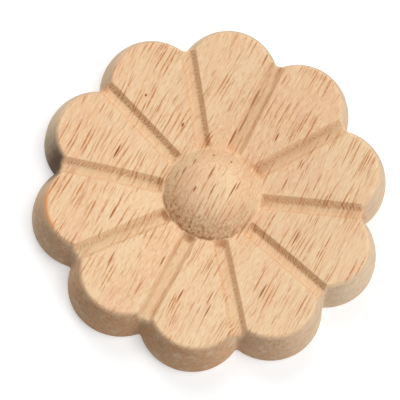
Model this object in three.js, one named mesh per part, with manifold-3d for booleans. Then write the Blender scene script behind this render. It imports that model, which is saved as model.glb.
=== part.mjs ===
// A round flower rosette, cut in one piece from a board of pale rubberwood, to be glued to furniture.
// It lies face up on its flat back: +Z is up and the origin is the middle of the back.
// The scalloped blank has a rounded side that leans in. The face is dished, a low boss stands in
// the dish, and a flat-bottomed groove runs from the boss out through each notch of the rim.

import * as THREE from 'three';
import { mergeVertices } from 'three/addons/utils/BufferGeometryUtils.js';
import Module from 'manifold-3d';

// Driving dimensions, in millimetres

const petalCount = 10;
const overallDiameter = 50; // across the tips of two facing petals, at the foot
const notchDepth = 3.35; // from the circle of the tips in to the meeting of two petals' arcs
const notchFillet = 0.4; // radius in the foot of each notch

const rimHeight = 6.1; // of the face's outer edge, at a petal's tip
const rimInset = 1.75; // how far that edge lies inside the foot's outline
const footBand = 0.3; // the straight band at the bottom of the side

const bossDiameter = 13.2; // at its foot, in the dish
const bossHeight = 3.1; // above its foot
const dishDepth = 2.82; // how far the face sinks from its outer edge to the boss's foot
const faceCrown = 0.24; // how far the sloping face bulges above a straight line

const grooveWidth = 2.4; // where the groove breaks the face
const grooveFloor = 1.1; // width of its flat floor, between two walls that lean apart
const grooveDepth = 1.05; // below the face
const grooveGap = 0.2; // between the boss's foot and the groove's inner end

// The side leans in along a quarter of an ellipse, which would end higher than the face's edge.
const sideRise = 1.2; // the ellipse's height, as a share of the side's own
const overrun = 1; // how far the cutters run past the petals' tips

// How finely the curves are divided, and how close two points are the same one
const weldDistance = 1e-5;
const petalEndSteps = 14;
const filletSteps = 3;
const sideSteps = 10;
const turnSteps = 12 * petalCount;
const faceSteps = 5;
const bossSteps = 8;
const grooveSteps = 6;

// Sizes worked out from them

const petalAngle = (2 * Math.PI) / petalCount;
const tipRadius = overallDiameter / 2;
const notchRadius = tipRadius - notchDepth;
const faceEdgeRadius = tipRadius - rimInset;
const bossRadius = bossDiameter / 2;
const dishFloor = rimHeight - dishDepth;
const ellipseHeight = sideRise * (rimHeight - footBand);
const ellipseWidth = rimInset / (1 - Math.sqrt(1 - 1 / sideRise ** 2));

// A petal's end is the arc through its tip and the two notches beside it.
const notchHalfChord = notchRadius * Math.sin(petalAngle / 2);
const petalSagitta = tipRadius - notchRadius * Math.cos(petalAngle / 2);
const petalEndRadius = (notchHalfChord ** 2 + petalSagitta ** 2) / (2 * petalSagitta);
const petalCentre = tipRadius - petalEndRadius;

// Radius of the sphere that the boss is the cap of
const bossSphere = (bossRadius ** 2 + bossHeight ** 2) / (2 * bossHeight);

const wasm = await Module();
wasm.setup();

// Turns a closed three.js geometry into a solid that can be joined and cut.
function solidOf(geometry) {
  const shape = geometry.clone();
  shape.deleteAttribute('normal');
  shape.deleteAttribute('uv');
  const merged = mergeVertices(shape, weldDistance);
  const triangles = [];
  for (let i = 0; i < merged.index.count; i += 3) {
    const corners = [0, 1, 2].map((j) => merged.index.getX(i + j));
    // The fans around an axis also hold triangles with no area, which are left out.
    if (new Set(corners).size === corners.length) triangles.push(...corners);
  }
  return new wasm.Manifold(new wasm.Mesh({
    numProp: 3,
    vertProperties: new Float32Array(merged.attributes.position.array),
    triVerts: new Uint32Array(triangles),
  }));
}

// Turns a solid back into a three.js geometry.
function geometryOf(solid) {
  const mesh = solid.getMesh();
  const geometry = new THREE.BufferGeometry();
  geometry.setAttribute('position', new THREE.BufferAttribute(mesh.vertProperties, 3));
  geometry.setIndex(new THREE.BufferAttribute(mesh.triVerts, 1));
  geometry.computeVertexNormals();
  return geometry;
}

// Height of the dished face at a distance from the middle
function faceHeight(radius) {
  const share = (radius - bossRadius) / (faceEdgeRadius - bossRadius);
  return dishFloor + dishDepth * share + 4 * faceCrown * share * (1 - share);
}

// Points along an arc, without its last one, where the next arc begins
function arcPoints(distance, direction, radius, from, to, steps) {
  const x = distance * Math.cos(direction);
  const y = distance * Math.sin(direction);
  const arc = new THREE.EllipseCurve(x, y, radius, radius, from, to, to < from);
  return arc.getPoints(steps).slice(0, -1);
}

// The foot's outline: an arc for each petal's end, and a fillet in each notch
function footOutline() {
  const reach = petalEndRadius + notchFillet;
  const aside = petalCentre * Math.sin(petalAngle / 2);
  const lean = Math.asin(aside / reach); // at the fillet's centre, between the notch and an arc's centre
  const filletCentre = petalCentre * Math.cos(petalAngle / 2) + reach * Math.cos(lean);
  const arcEnd = petalAngle / 2 + lean;
  const points = [];
  for (let i = 0; i < petalCount; i += 1) {
    const petal = i * petalAngle;
    const notch = petal + petalAngle / 2;
    const inward = notch + Math.PI;
    points.push(...arcPoints(petalCentre, petal, petalEndRadius, petal - arcEnd, petal + arcEnd, petalEndSteps));
    points.push(...arcPoints(filletCentre, notch, notchFillet, inward + lean, inward - lean, filletSteps));
  }
  return new THREE.Shape(points);
}

// The scalloped blank: the outline, with a side that leans in along the ellipse. It is taller than the
// rosette, and it goes on below the back with the same side upside down.
function scallopedBlank() {
  const geometry = new THREE.ExtrudeGeometry(footOutline(), {
    depth: 2 * footBand,
    bevelThickness: ellipseHeight,
    bevelSize: ellipseWidth,
    bevelOffset: -ellipseWidth,
    bevelSegments: sideSteps,
  });
  return solidOf(geometry.translate(0, 0, -footBand));
}

// The turned form: the flat back, the dished face and the domed boss
function turnedForm() {
  const outer = tipRadius + overrun;
  const profile = [new THREE.Vector2(0, 0), new THREE.Vector2(outer, 0)];
  for (let i = 0; i < faceSteps; i += 1) {
    const radius = THREE.MathUtils.lerp(outer, bossRadius, i / faceSteps);
    profile.push(new THREE.Vector2(radius, faceHeight(radius)));
  }
  const footAngle = Math.asin(bossRadius / bossSphere);
  const bossCentre = dishFloor + bossHeight - bossSphere;
  for (let i = bossSteps; i > 0; i -= 1) {
    const angle = (footAngle * i) / bossSteps;
    profile.push(new THREE.Vector2(bossSphere * Math.sin(angle), bossCentre + bossSphere * Math.cos(angle)));
  }
  profile.push(new THREE.Vector2(0, dishFloor + bossHeight));
  return solidOf(new THREE.LatheGeometry(profile, turnSteps).rotateX(Math.PI / 2));
}

// What the cutter takes out for a groove along +X: a bar that is bent to follow the face. Below the
// face its sides and its inner end lean in to the floor.
function grooveCut() {
  const start = bossRadius + grooveGap;
  const length = tipRadius + overrun - start;
  const lean = (grooveWidth - grooveFloor) / 2;
  const geometry = new THREE.BoxGeometry(length, grooveWidth, 2 * grooveDepth, grooveSteps, 1, 2);
  const position = geometry.attributes.position;
  for (let i = 0; i < position.count; i += 1) {
    const share = position.getX(i) / length + 0.5;
    const below = Math.max(-position.getZ(i) / grooveDepth, 0);
    const x = start + length * share + lean * (1 - share) * below;
    const y = position.getY(i) - Math.sign(position.getY(i)) * lean * below;
    position.setXYZ(i, x, y, position.getZ(i) + faceHeight(x));
  }
  return geometry;
}

function rosette() {
  let solid = turnedForm().intersect(scallopedBlank());
  const groove = grooveCut();
  for (let i = 0; i < petalCount; i += 1) {
    solid = solid.subtract(solidOf(groove.clone().rotateZ((i + 0.5) * petalAngle)));
  }
  const wood = new THREE.MeshStandardMaterial({ color: 0xe8c69a, roughness: 0.75, metalness: 0 });
  const mesh = new THREE.Mesh(geometryOf(solid), wood);
  mesh.name = 'rosette';
  return mesh;
}

const part = new THREE.Group();
part.add(rosette());

export default part;
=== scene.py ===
import math

import bpy
import numpy as np
from mathutils import Matrix, Vector


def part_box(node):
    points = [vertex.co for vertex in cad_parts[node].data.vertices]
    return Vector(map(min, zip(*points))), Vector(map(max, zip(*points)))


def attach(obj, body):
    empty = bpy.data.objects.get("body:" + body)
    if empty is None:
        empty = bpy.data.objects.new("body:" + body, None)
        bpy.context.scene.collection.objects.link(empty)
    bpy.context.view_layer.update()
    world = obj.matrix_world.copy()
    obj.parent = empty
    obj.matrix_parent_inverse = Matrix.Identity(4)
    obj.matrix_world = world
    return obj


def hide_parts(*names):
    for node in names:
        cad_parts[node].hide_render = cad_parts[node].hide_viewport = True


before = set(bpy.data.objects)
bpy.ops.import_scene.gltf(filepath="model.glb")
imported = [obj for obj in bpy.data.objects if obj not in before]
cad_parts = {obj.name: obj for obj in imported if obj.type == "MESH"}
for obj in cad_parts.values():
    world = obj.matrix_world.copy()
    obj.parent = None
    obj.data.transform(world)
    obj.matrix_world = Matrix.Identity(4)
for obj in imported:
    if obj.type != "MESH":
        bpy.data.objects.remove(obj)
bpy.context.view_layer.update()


# Form of one slice of the rosette
# The rosette is one piece of pale rubberwood, routed from a board: a scalloped blank whose side rounds
# inwards, a dished face, a domed boss, and a flat-bottomed groove out through each notch of the rim.
# A slice holds one groove, which runs along +X, and half a petal on either side. Sizes are in mm.

mm = 0.001
petals = 10
tip_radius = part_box("rosette")[1].x / mm
notch_depth = 3.35
notch_fillet = 0.4
rim_height = 6.1
rim_inset = 1.75
foot_band = 0.3
side_rise = 1.2
boss_radius = 6.6
boss_height = 3.1
dish_depth = 2.82
face_crown = 0.24
groove_half = 1.2
groove_floor_half = 0.55
groove_depth = 1.05
groove_start = 6.8

# How wide the rounded changes are from one surface to the next
rim_softness = 0.14
lip_softness = 0.07
floor_softness = 0.2
corner_softness = 0.35
crease_softness = 0.16

# How finely half a slice is divided, and how the columns and rows sit beside its edges
floor_columns = 3
wall_columns = 8
petal_columns = 20
boss_columns = 8
slope_rows = 107
end_rows = 17
side_rows = 16
boss_rows = 22
floor_margin = 0.08
wall_margin = 0.04
lip_columns = np.array([0.3, 1.6])
boss_bunching = 1.15

half_slice = math.pi / petals
notch_radius = tip_radius - notch_depth
face_edge_radius = tip_radius - rim_inset
dish_floor = rim_height - dish_depth
ellipse_height = side_rise * (rim_height - foot_band)
ellipse_width = rim_inset / (1 - math.sqrt(1 - 1 / side_rise ** 2))
petal_sagitta = tip_radius - notch_radius * math.cos(half_slice)
petal_chord = notch_radius * math.sin(half_slice)
petal_radius = (petal_chord ** 2 + petal_sagitta ** 2) / (2 * petal_sagitta)
petal_centre = (tip_radius - petal_radius) * np.array([math.cos(half_slice), math.sin(half_slice)])
fillet_reach = petal_radius + notch_fillet
fillet_centre = petal_centre[0] + math.sqrt(fillet_reach ** 2 - petal_centre[1] ** 2)
boss_sphere = (boss_radius ** 2 + boss_height ** 2) / (2 * boss_height)
wall_width = groove_half - groove_floor_half


def soft_min(a, b, softness):
    """The smaller of two values, with a rounded change from one to the other."""
    share = np.clip(0.5 + 0.5 * (b - a) / softness, 0, 1)
    return b + (a - b) * share - softness * share * (1 - share)


def soft_max(a, b, softness):
    return -soft_min(-a, -b, softness)


def groove_cut(x, y):
    """How far the groove goes below the face."""
    from_lip = soft_min(groove_half - np.abs(y), x - groove_start, corner_softness)
    section = soft_min(from_lip * groove_depth / wall_width, groove_depth, floor_softness)
    return soft_max(section, np.zeros_like(section), lip_softness)


def top_height(x, y):
    """Height of the dished face, the boss and the groove."""
    radius = np.hypot(x, y)
    share = (radius - boss_radius) / (face_edge_radius - boss_radius)
    face = dish_floor + dish_depth * share + 4 * face_crown * share * (1 - share)
    sphere = np.sqrt(np.maximum(boss_sphere ** 2 - radius ** 2, 0))
    boss = dish_floor + boss_height - boss_sphere + sphere
    return soft_max(face, boss, crease_softness) - groove_cut(x, y)


def inset_from_foot(x, y):
    """How far inside the foot's outline a point lies."""
    y = np.abs(y)
    from_petal = petal_radius - np.hypot(x - petal_centre[0], y - petal_centre[1])
    from_notch = np.hypot(x - fillet_centre, y) - notch_fillet
    beside_notch = y * (fillet_centre - petal_centre[0]) < (fillet_centre - x) * petal_centre[1]
    return np.where(beside_notch, from_notch, from_petal)


def side_height(inset):
    """Height of the side, which rounds inwards along an ellipse."""
    outward = 1 - np.clip(inset / ellipse_width, 0, 1)
    return foot_band + ellipse_height * np.sqrt(1 - outward ** 2)


def find_share(falling, count, halvings=40):
    """Where along each column a falling value passes through zero."""
    low = np.zeros(count)
    high = np.ones(count)
    for _ in range(halvings):
        middle = (low + high) / 2
        inside = falling(middle) > 0
        low = np.where(inside, middle, low)
        high = np.where(inside, high, middle)
    return low


# Columns lie parallel to the groove across its floor, walls and lips, then fan out over the petal.
floor_band = np.linspace(0, groove_floor_half - floor_margin, floor_columns)
wall_band = np.linspace(groove_floor_half, groove_half - wall_margin, wall_columns)
lip_band = groove_half + lip_softness * lip_columns
band = np.concatenate([floor_band, wall_band, lip_band])
columns = len(band) + petal_columns
mouth_radius = math.hypot(groove_start + wall_width, groove_half)


def circle_row(radius):
    """Points on a circle, spaced evenly at the boss and by the groove's columns further out."""
    angles = np.arcsin(band / radius)
    angles = np.append(angles, np.linspace(angles[-1], half_slice, petal_columns + 1)[1:])
    even = np.linspace(0, half_slice, columns)
    spread = min(max((groove_start - radius) / (groove_start - boss_radius), 0), 1)
    angles += spread * (even - angles)
    return radius * np.cos(angles), radius * np.sin(angles)


end_circles = [circle_row(radius) for radius in np.linspace(boss_radius, mouth_radius, end_rows)]
start = np.array(end_circles[-1])

# Outer end of each column, on the foot's outline
way_out = tip_radius - groove_start
reach = find_share(lambda s: inset_from_foot(groove_start + s * way_out, band), len(band))
foot_band_ends = np.array([groove_start + reach * way_out, band])
last = foot_band_ends[:, -1] - petal_centre
turns = np.linspace(math.atan2(last[1], last[0]), half_slice, petal_columns + 1)[1:]
foot_petal_ends = petal_centre[:, None] + petal_radius * np.array([np.cos(turns), np.sin(turns)])
foot_ends = np.hstack([foot_band_ends, foot_petal_ends])


def along_columns(share):
    return start + share * (foot_ends - start)


def above_side(share):
    x, y = along_columns(share)
    return side_height(inset_from_foot(x, y)) - top_height(x, y)


edge_share = find_share(above_side, columns)
edge_inset = inset_from_foot(*along_columns(edge_share))
edge_turn = np.arccos(1 - edge_inset / ellipse_width)

rows = list(end_circles)
for i in range(1, slope_rows + 1):
    rows.append(along_columns(edge_share * i / slope_rows))
for i in range(1, side_rows + 1):
    wanted = ellipse_width * (1 - np.cos(edge_turn * (1 - i / side_rows)))
    share = find_share(lambda s: inset_from_foot(*along_columns(s)) - wanted, columns)
    rows.append(along_columns(share))

# The half slice and its mirror image, with the foot's row once more on the floor
half_x = np.array([row[0] for row in rows])
half_y = np.array([row[1] for row in rows])
grid_x = np.hstack([half_x[:, :0:-1], half_x])
grid_y = np.hstack([-half_y[:, :0:-1], half_y])
side_z = side_height(inset_from_foot(grid_x, grid_y))
grid_z = soft_min(top_height(grid_x, grid_y), side_z, rim_softness)
foot_z = np.zeros_like(grid_x[-1:])
grid_x = np.vstack([grid_x, grid_x[-1:]])
grid_y = np.vstack([grid_y, grid_y[-1:]])
grid_z = np.vstack([grid_z, foot_z])

# The boss goes on inwards from the grid's first row, with a quarter of its columns.
boss_turns = np.linspace(-half_slice, half_slice, 2 * boss_columns + 1)
boss_radii = boss_radius * (1 - np.linspace(0, 1, boss_rows + 1)[1:-1] ** boss_bunching)
boss_x = np.outer(boss_radii, np.cos(boss_turns))
boss_y = np.outer(boss_radii, np.sin(boss_turns))
boss_z = top_height(boss_x, boss_y)

grid_size = grid_x.size
grid_across = grid_x.shape[1]
boss_across = boss_x.shape[1]
points = np.vstack([
    np.stack([grid_x, grid_y, grid_z], -1).reshape(-1, 3),
    np.stack([boss_x, boss_y, boss_z], -1).reshape(-1, 3),
    [[0, 0, dish_floor + boss_height], [0, 0, 0]],
])
apex = len(points) - 2
back_middle = len(points) - 1

faces = []
for row in range(grid_x.shape[0] - 1):
    for column in range(grid_across - 1):
        corner = row * grid_across + column
        faces.append((corner, corner + grid_across, corner + grid_across + 1, corner + 1))
for row in range(boss_x.shape[0] - 1):
    for column in range(boss_across - 1):
        corner = grid_size + row * boss_across + column
        faces.append((corner + boss_across, corner, corner + 1, corner + boss_across + 1))
ratio = (grid_across - 1) // (boss_across - 1)
for column in range(boss_across - 1):
    left = grid_size + column
    first = column * ratio
    for step in range(ratio):
        corner = left if step < ratio // 2 else left + 1
        faces.append((corner, first + step, first + step + 1))
    faces.append((left, first + ratio // 2, left + 1))
    inner = apex - boss_across + column
    faces.append((apex, inner, inner + 1))
for column in range(grid_across - 1):
    corner = grid_size - grid_across + column
    faces.append((back_middle, corner + 1, corner))

slice_mesh = bpy.data.meshes.new("slice")
slice_mesh.from_pydata(points * mm, [], faces)
slice_object = bpy.data.objects.new("slice", slice_mesh)
bpy.context.scene.collection.objects.link(slice_object)


def store(name, values):
    attribute = slice_mesh.attributes.new(name, "FLOAT", "POINT")
    attribute.data.foreach_set("value", np.asarray(values, np.float32))


# Labels that the marks and the wood read: the place in the slice, how far inside the face's edge it
# lies, and how deep the groove is there, as a share of its full depth
from_rim = np.full(len(points), tip_radius)
edge_row = np.hstack([edge_inset[:0:-1], edge_inset])
from_rim[:grid_size] = (inset_from_foot(grid_x, grid_y) - edge_row).ravel()
cut_share = groove_cut(points[:, 0], points[:, 1]) / groove_depth
store("along", points[:, 0])
store("across", points[:, 1])
store("rim", from_rim)
store("cut", cut_share * np.clip(from_rim / rim_softness, 0, 1))


# Whole rosette
# The slice is repeated around the middle and welded into one closed piece. The cutter left fine
# slanting marks on the grooves' walls that face the lower left, deepest where it crossed the fibres.

grain_turn = math.radians(53)
torn_way = math.radians(225)
mark_pitch = 0.5
mark_depth = 0.05
mark_lean = 1.1
lean_turn = math.radians(108)
mark_wander = 2
wander_scale = 900.0
patch_scale = 420.0
patch_limits = (0.3, 0.7)
torn_limits = (0.0, 0.5)
marked_cut_limits = (0.2, 0.6)
weld = 0.001
sharp_angle = math.radians(60)
full_turn = 2 * math.pi


class Wire:
    """An output of a node. Arithmetic on wires and numbers adds Math nodes."""

    def __init__(self, plan, socket):
        self.plan = plan
        self.socket = socket

    def output(self, name):
        return Wire(self.plan, self.socket.node.outputs[name])

    def math(self, operation, first, second=0.0):
        return self.plan.add("ShaderNodeMath", {"operation": operation}, {0: first, 1: second})

    def __add__(self, other):
        return self.math("ADD", self, other)

    def __radd__(self, other):
        return self.math("ADD", other, self)

    def __sub__(self, other):
        return self.math("SUBTRACT", self, other)

    def __rsub__(self, other):
        return self.math("SUBTRACT", other, self)

    def __mul__(self, other):
        return self.math("MULTIPLY", self, other)

    def __rmul__(self, other):
        return self.math("MULTIPLY", other, self)

    def __truediv__(self, other):
        return self.math("DIVIDE", self, other)

    def __rtruediv__(self, other):
        return self.math("DIVIDE", other, self)

    def sine(self):
        return self.math("SINE", self)

    def size(self):
        return self.math("ABSOLUTE", self)

    def most(self, other):
        return self.math("MAXIMUM", self, other)

    def ramp(self, low, high):
        """0 up to low and 1 from high on, with a smooth step between them; low may be the larger."""
        if low > high:
            return 1 - self.ramp(high, low)
        settings = {"interpolation_type": "SMOOTHSTEP"}
        return self.plan.add("ShaderNodeMapRange", settings, {0: self, 1: low, 2: high})


class Plan:
    """A node tree that is being built."""

    def __init__(self, tree):
        self.tree = tree

    def add(self, kind, settings=None, sockets=None, output=0):
        node = self.tree.nodes.new(kind)
        for name, value in (settings or {}).items():
            setattr(node, name, value)
        for key, value in (sockets or {}).items():
            if isinstance(value, Wire):
                self.tree.links.new(value.socket, node.inputs[key])
            else:
                node.inputs[key].default_value = value
        if not node.outputs:
            return None
        return Wire(self, node.outputs[output])


shape_tree = bpy.data.node_groups.new("rosette", "GeometryNodeTree")
shape_inputs = {
    "Slice": "NodeSocketGeometry",
    "Petals": "NodeSocketInt",
    "Grain turn": "NodeSocketFloat",
    "Mark pitch": "NodeSocketFloat",
    "Mark depth": "NodeSocketFloat",
    "Mark lean": "NodeSocketFloat",
    "Torn way": "NodeSocketFloat",
    "Weld": "NodeSocketFloat",
    "Wood": "NodeSocketMaterial",
}
for name, kind in shape_inputs.items():
    shape_tree.interface.new_socket(name, in_out="INPUT", socket_type=kind)
shape_tree.interface.new_socket("Rosette", in_out="OUTPUT", socket_type="NodeSocketGeometry")

shape = Plan(shape_tree)
given = shape.add("NodeGroupInput")


def labelled(geometry, domain, name, value):
    settings = {"data_type": "FLOAT", "domain": domain}
    sockets = {"Geometry": geometry, "Name": name, "Value": value}
    return shape.add("GeometryNodeStoreNamedAttribute", settings, sockets)


def label(name):
    return shape.add("GeometryNodeInputNamedAttribute", {"data_type": "FLOAT"}, {"Name": name})


# The ring of slices. Each is labelled with how squarely its groove crosses the fibres, how its marks
# lean, and which of its walls is torn.
turn = (shape.add("GeometryNodeInputIndex") + 0.5) * full_turn / given.output("Petals")
middles = shape.add("GeometryNodePoints", None, {"Count": given.output("Petals")})
about_z = shape.add("ShaderNodeCombineXYZ", None, {"Z": turn})
around = {"Points": middles, "Instance": given.output("Slice"), "Rotation": about_z}
ring = shape.add("GeometryNodeInstanceOnPoints", None, around)
ring = labelled(ring, "INSTANCE", "tear", (turn - given.output("Grain turn")).sine().size())
ring = labelled(ring, "INSTANCE", "lean", (turn + lean_turn).sine() * given.output("Mark lean"))
ring = labelled(ring, "INSTANCE", "torn_side", (turn - given.output("Torn way")).sine())
whole = shape.add("GeometryNodeRealizeInstances", None, {"Geometry": ring})
welding = {"Geometry": whole, "Distance": given.output("Weld")}
whole = shape.add("GeometryNodeMergeByDistance", None, welding)

# The cutter's marks, pushed into the torn walls
phase = (label("along") + label("lean") * label("across")) / given.output("Mark pitch")
wander = shape.add("ShaderNodeTexNoise", None, {"Scale": wander_scale, "Detail": 2.0})
patch_noise = shape.add("ShaderNodeTexNoise", None, {"Scale": patch_scale, "Detail": 1.0})
patches = patch_noise.ramp(*patch_limits)
torn = (label("across") * label("torn_side")).ramp(*torn_limits) * label("tear")
waves = ((phase + wander * mark_wander) * full_turn).sine()
depth = waves * label("cut").ramp(*marked_cut_limits) * patches * torn * given.output("Mark depth")
normal = shape.add("GeometryNodeInputNormal")
push = shape.add("ShaderNodeVectorMath", {"operation": "SCALE"}, {0: normal, "Scale": depth})
whole = shape.add("GeometryNodeSetPosition", None, {"Geometry": whole, "Offset": push})

# How squarely the surface cuts the fibres
fibre_way = (math.cos(grain_turn), math.sin(grain_turn), 0)
facing_sockets = {0: normal, 1: fibre_way}
facing = shape.add("ShaderNodeVectorMath", {"operation": "DOT_PRODUCT"}, facing_sockets, "Value")
whole = labelled(whole, "POINT", "end_grain", facing.size())
dressing = {"Geometry": whole, "Material": given.output("Wood")}
whole = shape.add("GeometryNodeSetMaterial", None, dressing)
shape.add("NodeGroupOutput", None, {"Rosette": whole})

wood = bpy.data.materials.new("rubberwood")
modifier = slice_object.modifiers.new("rosette", "NODES")
modifier.node_group = shape_tree
shape_values = {
    "Petals": petals,
    "Grain turn": grain_turn,
    "Mark pitch": mark_pitch,
    "Mark depth": mark_depth * mm,
    "Mark lean": mark_lean,
    "Torn way": torn_way,
    "Weld": weld * mm,
    "Wood": wood,
}
for item in shape_tree.interface.items_tree:
    if item.in_out == "INPUT" and item.name in shape_values:
        modifier[item.identifier] = shape_values[item.name]
depsgraph = bpy.context.evaluated_depsgraph_get()
rosette_mesh = bpy.data.meshes.new_from_object(slice_object.evaluated_get(depsgraph))
bpy.data.objects.remove(slice_object)
rosette_mesh.polygons.foreach_set("use_smooth", [True] * len(rosette_mesh.polygons))
rosette_mesh.set_sharp_from_angle(angle=sharp_angle)
rosette = bpy.data.objects.new("wood_rosette", rosette_mesh)
bpy.context.scene.collection.objects.link(rosette)
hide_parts("rosette")
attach(rosette, "root")


# Wood
# Rubberwood is pale cream, sanded smooth on the face, with soft warmer bands, pink blotches, pale
# flecks and tan fibres. Its colour is built up in layers, here and in the sections after this one.

cream = (242, 207, 165)
peach = (240, 197, 155)
pink = (234, 184, 151)
pale = (250, 226, 187)
tan = (194, 118, 56)
lower_left_way = math.radians(232)
sway_size = 1.6
back_shift = 40


def linear_share(value):
    """An 8-bit screen value as a share of light, by the usual screen curve."""
    share = value / 255
    if share <= 0.04045:
        return share / 12.92
    return ((share + 0.055) / 1.055) ** 2.4


def linear(colour):
    """A colour given as 8-bit screen values, for a socket."""
    return [linear_share(value) for value in colour] + [1]


wood.use_nodes = True
wood.node_tree.nodes.clear()
paint = Plan(wood.node_tree)


def vector_math(operation, first, second, output=0):
    return paint.add("ShaderNodeVectorMath", {"operation": operation}, {0: first, 1: second}, output)


def mapped(vector, **sockets):
    return paint.add("ShaderNodeMapping", {"vector_type": "POINT"}, {"Vector": vector, **sockets})


def blend(share, first, second):
    """A mix of two colours, which the node keeps in its inputs 6 and 7 and its output 2."""
    return paint.add("ShaderNodeMix", {"data_type": "RGBA"}, {0: share, 6: first, 7: second}, 2)


def tinted(colour, tint, mask, strength):
    """The colour, changed toward a tint where the mask is."""
    return blend(mask * strength, colour, linear(tint))


def shaded(colour, share):
    return paint.add("ShaderNodeVectorMath", {"operation": "SCALE"}, {0: colour, "Scale": share})


def surface(name):
    return paint.add("ShaderNodeAttribute", {"attribute_name": name}, None, "Fac")


# Frames in mm: along the fibres, across them and up; then the same with its first two axes across
# the fibres
place = paint.add("ShaderNodeTexCoord").output("Object")
straight = mapped(place, Rotation=(0, 0, -grain_turn), Scale=(1 / mm, 1 / mm, 1 / mm))
straight_parts = paint.add("ShaderNodeSeparateXYZ", None, {"Vector": straight})
cross_cut = mapped(straight, Rotation=(0, math.pi / 2, 0))


def stretched(vector, length, width, shift):
    """A frame measured in lengths along the fibres and widths across them."""
    return mapped(vector, Scale=(1 / length, 1 / width, 1 / width), Location=(shift, shift, shift))


def noise(vector, length, width, detail, shift):
    sockets = {"Vector": stretched(vector, length, width, shift), "Scale": 1.0, "Detail": detail}
    return paint.add("ShaderNodeTexNoise", None, sockets)


def spots(vector, length, width, detail, shift, low, high):
    """A mask of spots, which fade in from a low value of the noise to a high one."""
    return noise(vector, length, width, detail, shift).ramp(low, high)


def place_distance(x, y):
    """Distance from a place on the face, seen from above."""
    flat = vector_math("MULTIPLY", place, (1 / mm, 1 / mm, 0))
    return vector_math("DISTANCE", flat, (x, y, 0), "Value")


# Where the surface is: off the flat back, which has other fibres and none of the cutter's traces; on
# the side; on the boss; on cut ends of the fibres; and on the sanded face
front = straight_parts.output("Z").ramp(0.0, 0.1)
radius = place_distance(0, 0)
side = surface("rim").ramp(0.0, -0.5) * front
on_boss = radius.ramp(boss_radius + 0.1, boss_radius - 0.1)
ends = surface("end_grain").ramp(0.3, 0.95) * side.most(on_boss)
top = 1 - side.most(ends)

# How far toward the lower left a place lies: 1 at the rim there, and -1 at the rim across from it
lower_left_scale = 1 / mm / tip_radius
lower_left_direction = (math.cos(lower_left_way) * lower_left_scale, math.sin(lower_left_way) * lower_left_scale, 0)
toward_lower_left = vector_math("DOT_PRODUCT", place, lower_left_direction, "Value")

# Bands, blotches and fibres; the fibres sway a little, and those of the back are others
swaying = (noise(straight, length=16, width=7, detail=1, shift=2) - 0.5) * sway_size
sway = swaying + (1 - front) * back_shift
fibre = vector_math("ADD", straight, paint.add("ShaderNodeCombineXYZ", None, {"Y": sway}))
bands = spots(fibre, length=45, width=4.5, detail=2, shift=3, low=0.38, high=0.64)
blotches = spots(fibre, length=6, width=0.8, detail=3, shift=7, low=0.5, high=0.75)
flecks = spots(fibre, length=0.9, width=0.3, detail=2, shift=13, low=0.45, high=0.7)
fibres = noise(fibre, length=2.6, width=0.18, detail=2, shift=11)
colour = blend(bands, linear(cream), linear(peach))
colour = tinted(colour, pink, blotches, strength=0.6)
colour = tinted(colour, pale, flecks * (1 - side), strength=0.45)
colour = tinted(colour, tan, fibres.ramp(0.48, 0.3), strength=0.34)


# Pores
# Long thin pores run along the fibres, closer in some places and fainter in parts of their length.
# They show as streaks on the sanded face, and as dots where the side and the boss cut them.

pore_brown = (174, 94, 32)
pore_dark = (150, 74, 18)
crowding_size = 0.5
faintest_bead = 0.35
faintest_pore = 0.4
pore_onset = 0.25
side_dots = 0.45

# Where a pore ends and where it is darkest, as distances from its middle, in cells
pore_edge = 0.38
pore_core = 0.14

crowding = (noise(fibre, length=14, width=2.2, detail=2, shift=5) - 0.5) * crowding_size
bead_spots = spots(fibre, length=0.8, width=0.5, detail=1, shift=31, low=0.28, high=0.5)
beads = bead_spots * (1 - faintest_bead) + faintest_bead


def pores(vector, length, width, kept, shift):
    """Long thin pores, one at most in each cell of the wood; kept is the share of cells with one."""
    cells = {"Vector": stretched(vector, length, width, shift), "Scale": 1.0}
    cell = paint.add("ShaderNodeTexVoronoi", {"voronoi_dimensions": "2D"}, cells)
    chance = paint.add("ShaderNodeSeparateColor", None, {"Color": cell.output("Color")})
    there = (chance + crowding).ramp(1 - kept, 1 - kept + pore_onset)
    strength = chance.output("Green") * (1 - faintest_pore) + faintest_pore
    return cell.ramp(pore_edge, pore_core) * there * strength


long_pores = pores(fibre, length=8.0, width=0.38, kept=0.54, shift=1) * beads * top
short_pores = pores(fibre, length=3.2, width=0.32, kept=0.24, shift=5) * top
dark_pores = pores(fibre, length=1.8, width=0.28, kept=0.04, shift=9) * top
flank_dots = ends.ramp(0.05, 0.4) * toward_lower_left.ramp(-0.1, 0.1) * (1 - side)
where_dots = flank_dots.most(side * side_dots)
dots = pores(cross_cut, length=0.6, width=0.6, kept=0.75, shift=15) * where_dots
colour = tinted(colour, tan, long_pores, strength=0.92)
colour = tinted(colour, pore_brown, short_pores, strength=0.75)
colour = tinted(colour, pore_dark, dark_pores, strength=0.8)
colour = tinted(colour, pore_dark, dots, strength=0.95)


def streak(x, y, length, width):
    """One long mark along the fibres, with its middle at a place on the face."""
    shrink = (2 / length, 2 / width, 0)
    along_fibres = x * math.cos(grain_turn) + y * math.sin(grain_turn)
    across_fibres = y * math.cos(grain_turn) - x * math.sin(grain_turn)
    centre = (along_fibres * shrink[0], across_fibres * shrink[1], 0)
    shrunk = vector_math("MULTIPLY", straight, shrink)
    return vector_math("DISTANCE", shrunk, centre, "Value").ramp(1, 0.4)


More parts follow.
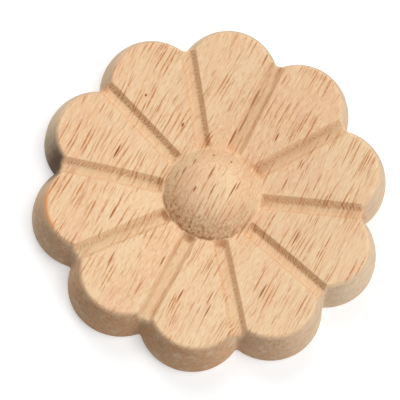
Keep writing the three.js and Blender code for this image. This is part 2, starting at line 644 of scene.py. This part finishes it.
# The most visible single pores: x and y of the middle, length, width and strength
marked_pores = [
    (-12.1, 7.6, 3.2, 0.36, 1.0),
    (10.4, 6.6, 1.8, 0.26, 1.0),
    (-2.3, 10.4, 0.9, 0.45, 0.9),
    (-6.8, 15.1, 0.6, 0.4, 0.95),
    (2.8, -0.6, 3.4, 0.26, 0.9),
    (3.6, -0.1, 2.4, 0.22, 0.8),
    (0.2, 2.2, 3.2, 0.34, 0.8),
    (-2.5, 0.2, 1.2, 0.34, 0.9),
    (-0.2, -0.4, 2.2, 0.24, 0.7),
    (-3.3, 3.5, 1.9, 0.34, 0.65),
    (-1.7, 4.5, 1.7, 0.34, 0.65),
    (1.2, 5.2, 0.5, 0.4, 0.8),
    (3.4, 3.8, 0.7, 0.34, 0.75),
    (-8.4, -8.9, 2.2, 0.3, 0.8),
    (10.3, -8.5, 3.8, 0.26, 0.9),
    (4.4, 7.8, 3.8, 0.36, 0.8),
    (6.2, 9.6, 4.4, 0.3, 0.75),
    (8.4, 12.8, 4.0, 0.34, 0.75),
    (10.3, -0.3, 3.0, 0.28, 0.7),
    (17.5, 5.6, 2.0, 0.3, 0.75),
    (10.6, 17.8, 3.0, 0.26, 0.7),
    (-14.2, -1.2, 3.0, 0.26, 0.7),
    (-15.4, -7.7, 3.0, 0.26, 0.75),
    (-6.9, -14.4, 2.5, 0.26, 0.75),
    (-3.0, -15.4, 3.0, 0.26, 0.75),
    (-3.7, -17.3, 3.0, 0.26, 0.8),
    (4.3, -15.6, 3.6, 0.4, 0.8),
]
for x, y, length, width, strength in marked_pores:
    colour = tinted(colour, pore_dark, streak(x, y, length, width) * front, strength)


# Wood in the grooves
# The routed grooves are painted a little duller and darker than the face: partly the routed wood, and
# partly painted shade, which dims their lit walls. On the torn wall of each, the cutter left fine dark
# and light ticks across it, which hardly reach the floor.

groove_dull_and_shade_tan = (222, 190, 150)
calm_floor = 0.8
tick_wander = 3
groove_dulling_and_painted_shade = 0.05
tick_shade = 0.24

cut = surface("cut")
groove = cut.ramp(0.05, 0.9)
wall = cut.ramp(0.3, 0.6) * (1 - cut.ramp(0.85, 0.98) * calm_floor)
tick_phase = (surface("along") + surface("lean") * surface("across")) / mark_pitch
unevenness = noise(straight, length=0.9, width=0.9, detail=2, shift=17)
torn_wall = (surface("across") * surface("torn_side")).ramp(-0.1, 0.4) * surface("tear") * wall
ticks = ((tick_phase + unevenness * tick_wander) * full_turn).sine() * torn_wall
# Duller routed wood and painted shade over the whole groove
colour = tinted(colour, groove_dull_and_shade_tan, groove, strength=0.25)
colour = shaded(colour, 1 - groove * groove_dulling_and_painted_shade + ticks * tick_shade)


# Wood on the side
# The side is sawn and routed, not sanded, so it is rougher and darker. Over that it is painted pale as
# painted light, and brown toward the lower left, away from the light, as painted shade. It has
# bleached patches, shows the board's layers, and is darker where it cuts the fibres.

side_lit_and_bleached_pale = (242, 218, 188)
side_shade_brown = (202, 148, 104)
side_light_and_shade_cover = 0.6
side_shade = 0.12
rough_shade = 0.06
layer_shade = 0.08
end_shade = 0.12
rough_end_shade = 0.04

rough = noise(straight, length=2.0, width=0.6, detail=3, shift=19)
layers = spots(straight, length=6, width=0.3, detail=2, shift=23, low=0.4, high=0.65)
bleached = spots(straight, length=2.4, width=1.6, detail=2, shift=37, low=0.5, high=0.68)
# Painted light and shade: pale side toward the light, brown side toward the lower left, where shade
# falls
side_light_and_shade_tone = blend(toward_lower_left.ramp(0.2, 0.95), linear(side_lit_and_bleached_pale), linear(side_shade_brown))
colour = blend(side * side_light_and_shade_cover, colour, side_light_and_shade_tone)
colour = tinted(colour, side_lit_and_bleached_pale, side * bleached, strength=0.4)
side_darkening = side_shade + rough.ramp(0.35, 0.7) * rough_shade + layers * layer_shade
colour = shaded(colour, 1 - side * side_darkening)
end_darkening = end_shade + rough.ramp(0.4, 0.65) * rough_end_shade
colour = shaded(colour, 1 - ends * side * end_darkening)


# Wood on the boss
# The boss is round, so its flank cuts the fibres at a slant and looks darker; the flank's darkening,
# all round it, is also painted shade, which keeps the lit flank from outshining the top. Toward the
# lower left the flank is speckled with brown, and the crease at its foot is painted brown as painted
# shade in the crease.

flank_brown = (186, 132, 82)
crease_shade_brown = (144, 94, 50)
flank_start = 3.0
flank_full = 6.0
flank_grain_and_painted_shade = 0.09
crease_radius = boss_radius + 0.05
crease_reach = 0.34
crease_core = 0.02

flank = radius.ramp(flank_start, flank_full) * radius.ramp(boss_radius + 0.2, boss_radius) * front
coarse = spots(straight, length=0.42, width=0.32, detail=3, shift=29, low=0.4, high=0.64)
speckle = toward_lower_left.ramp(-0.12, 0.14) * coarse
crease_ring = (radius - crease_radius).size().ramp(crease_reach, crease_core)
crease_shade = crease_ring * straight_parts.ramp(-0.5, -4.5)
# Slanting end grain and painted shade on the flank
colour = shaded(colour, 1 - flank * flank_grain_and_painted_shade)
colour = tinted(colour, flank_brown, flank * speckle, strength=0.55)
# Painted shade in the crease at the boss's foot, toward the lower left
colour = tinted(colour, crease_shade_brown, crease_shade * rough.ramp(0.3, 0.62) * front, strength=0.8)


# Scorched and charred places, and painted shade in the left notch
# A hot cutter scorches the wood where it stops or turns. Most of the burns are at the grooves' inner
# ends. The notch on the left is painted darkest, for a scorch there and for the shade in the notch.

scorch_brown = (180, 98, 44)
char_and_shade_brown = (96, 64, 42)
edge_orange = (232, 158, 98)
raggedness = 2.2
charred_shaded_notch = (-20.7, 6.9)
charred_shaded_size = 2.6
painted_shade_left = (-22.6, 9.0)
painted_shade_left_strength = 0.34
orange_edge = (-23.0, 0.2)
orange_width = 0.45

# x and y of a burn's middle, its size and its strength
scorched_places = [
    (7.4, 2.7, 1.2, 0.4),
    (7.2, -2.2, 1.0, 0.24),
    (4.5, -5.2, 0.9, 0.24),
    (0.2, -7.2, 1.0, 0.44),
    (-3.9, -5.8, 0.9, 0.56),
    (-7.0, -1.9, 1.0, 0.56),
    (-6.4, 2.9, 0.9, 0.28),
    (-3.8, 6.9, 0.9, 0.24),
    (-12.2, 16.9, 0.9, 0.48),
    (20.4, -6.7, 0.9, 0.48),
    (-22.0, 7.9, 1.7, 0.4),
]
for x, y, size, strength in scorched_places:
    ragged = (place_distance(x, y) / size + rough * raggedness).ramp(2.1, 0.9)
    colour = tinted(colour, scorch_brown, ragged * front, strength)

# The side above the notch on the left is darkened with painted shade, and the edge of the petal below
# it is orange.
# Painted shade over the side on the left, around the notch
colour = shaded(colour, 1 - side * place_distance(*painted_shade_left).ramp(5.5, 1.5) * painted_shade_left_strength)
# Painted dark patch in the notch on the left: a scorch, and painted shade
charred_and_shaded = (place_distance(*charred_shaded_notch) / charred_shaded_size + rough).ramp(1.9, 0.9) * side
colour = tinted(colour, char_and_shade_brown, charred_and_shaded, strength=0.8)
along_edge = place_distance(*orange_edge).ramp(4.0, 1.6)
edge_line = surface("rim").size().ramp(orange_width, 0.05) * along_edge
colour = tinted(colour, edge_orange, edge_line * front, strength=0.8)


# Relief and finish
# The wood is bare and dull. Its fibres stand up a little, the side is rough, and the pores are open.
# Each kind of relief is a share of the full height.

relief_height = 0.08
relief_strength = 0.5
fibre_relief = 0.3
sawn_off_fibres = 0.8
rough_relief = 0.3
pore_relief = 0.5
wood_roughness = 0.75
wood_gloss = 0.25

raised = fibres * (1 - side * sawn_off_fibres) * fibre_relief + rough * side * rough_relief
relief = raised - (long_pores + short_pores + dots) * pore_relief - dark_pores
height = {"Strength": relief_strength, "Distance": relief_height * mm, "Height": relief}
finish = {
    "Base Color": colour,
    "Roughness": wood_roughness,
    "Normal": paint.add("ShaderNodeBump", None, height),
    "Specular IOR Level": wood_gloss,
}
skin = paint.add("ShaderNodeBsdfPrincipled", None, finish)
paint.add("ShaderNodeOutputMaterial", None, {"Surface": skin})


# Floor
# A plain white sheet under the rosette. It lies a hair above the rosette's back, inside the wood, so
# that a view from below shows the back. Sizes are in metres from here on.

floor_size = 1.2
hair = 0.00002
paper_grey = 0.7
paper_roughness = 0.9
paper_glow = 0.42
edge = floor_size / 2
floor_corners = [(-edge, -edge, hair), (edge, -edge, hair), (edge, edge, hair), (-edge, edge, hair)]
floor_mesh = bpy.data.meshes.new("floor")
floor_mesh.from_pydata(floor_corners, [], [(0, 1, 2, 3)])
floor = bpy.data.objects.new("floor", floor_mesh)
bpy.context.scene.collection.objects.link(floor)
paper = bpy.data.materials.new("white_paper")
paper.use_nodes = True
paper_skin = paper.node_tree.nodes["Principled BSDF"]
paper_skin.inputs["Base Color"].default_value = (paper_grey, paper_grey, paper_grey, 1)
paper_skin.inputs["Roughness"].default_value = paper_roughness
paper_skin.inputs["Emission Color"].default_value = (1, 1, 1, 1)
paper_skin.inputs["Emission Strength"].default_value = paper_glow
floor_mesh.materials.append(paper)


# Light
# Soft daylight from all around, two large soft keys from behind and above, and a weaker fill. The
# lamp under the floor lights only the back, for a view from below.

lamp_size = 0.5
lamp_distance = 1.0
daylight = 0.19


def direction(azimuth, elevation):
    level = math.cos(elevation)
    return Vector((level * math.cos(azimuth), level * math.sin(azimuth), math.sin(elevation)))


def softbox(name, azimuth, elevation, power):
    lamp = bpy.data.lights.new(name, "AREA")
    lamp.shape = "SQUARE"
    lamp.size = lamp_size
    lamp.energy = power
    holder = bpy.data.objects.new(name, lamp)
    away = direction(math.radians(azimuth), math.radians(elevation))
    holder.location = away * lamp_distance
    holder.rotation_euler = away.to_track_quat("Z", "Y").to_euler()
    bpy.context.scene.collection.objects.link(holder)


softbox("key_behind", azimuth=90, elevation=45, power=4.1)
softbox("key_above", azimuth=0, elevation=70, power=4.6)
softbox("fill", azimuth=315, elevation=25, power=2.5)
softbox("from_below", azimuth=225, elevation=-60, power=6.0)
world = bpy.data.worlds.new("soft_light")
world.use_nodes = True
sky = world.node_tree.nodes["Background"]
sky.inputs["Color"].default_value = (1, 1, 1, 1)
sky.inputs["Strength"].default_value = daylight
bpy.context.scene.world = world
bpy.context.scene.view_settings.view_transform = "Standard"


# Camera
# It looks down at the rosette from the photograph's angle, through a long lens, and is turned a
# little about its own axis. Its tilt is measured from straight above.

camera_azimuth = math.radians(247.49)
camera_tilt = math.radians(19.69)
camera_roll = math.radians(13.434)
camera_distance = 0.48927
focal_length = 315
sideways_shift = -0.02333
upward_shift = 0.00485

lens = bpy.data.cameras.new("camera")
lens.lens = focal_length
lens.shift_x = sideways_shift
lens.shift_y = upward_shift
camera = bpy.data.objects.new("camera", lens)
bpy.context.scene.collection.objects.link(camera)
toward_camera = direction(camera_azimuth, math.radians(90) - camera_tilt)
upright = toward_camera.to_track_quat("Z", "Y").to_matrix()
rolled = upright @ Matrix.Rotation(camera_roll, 3, "Z")
camera.matrix_world = Matrix.Translation(toward_camera * camera_distance) @ rolled.to_4x4()
bpy.context.scene.camera = camera
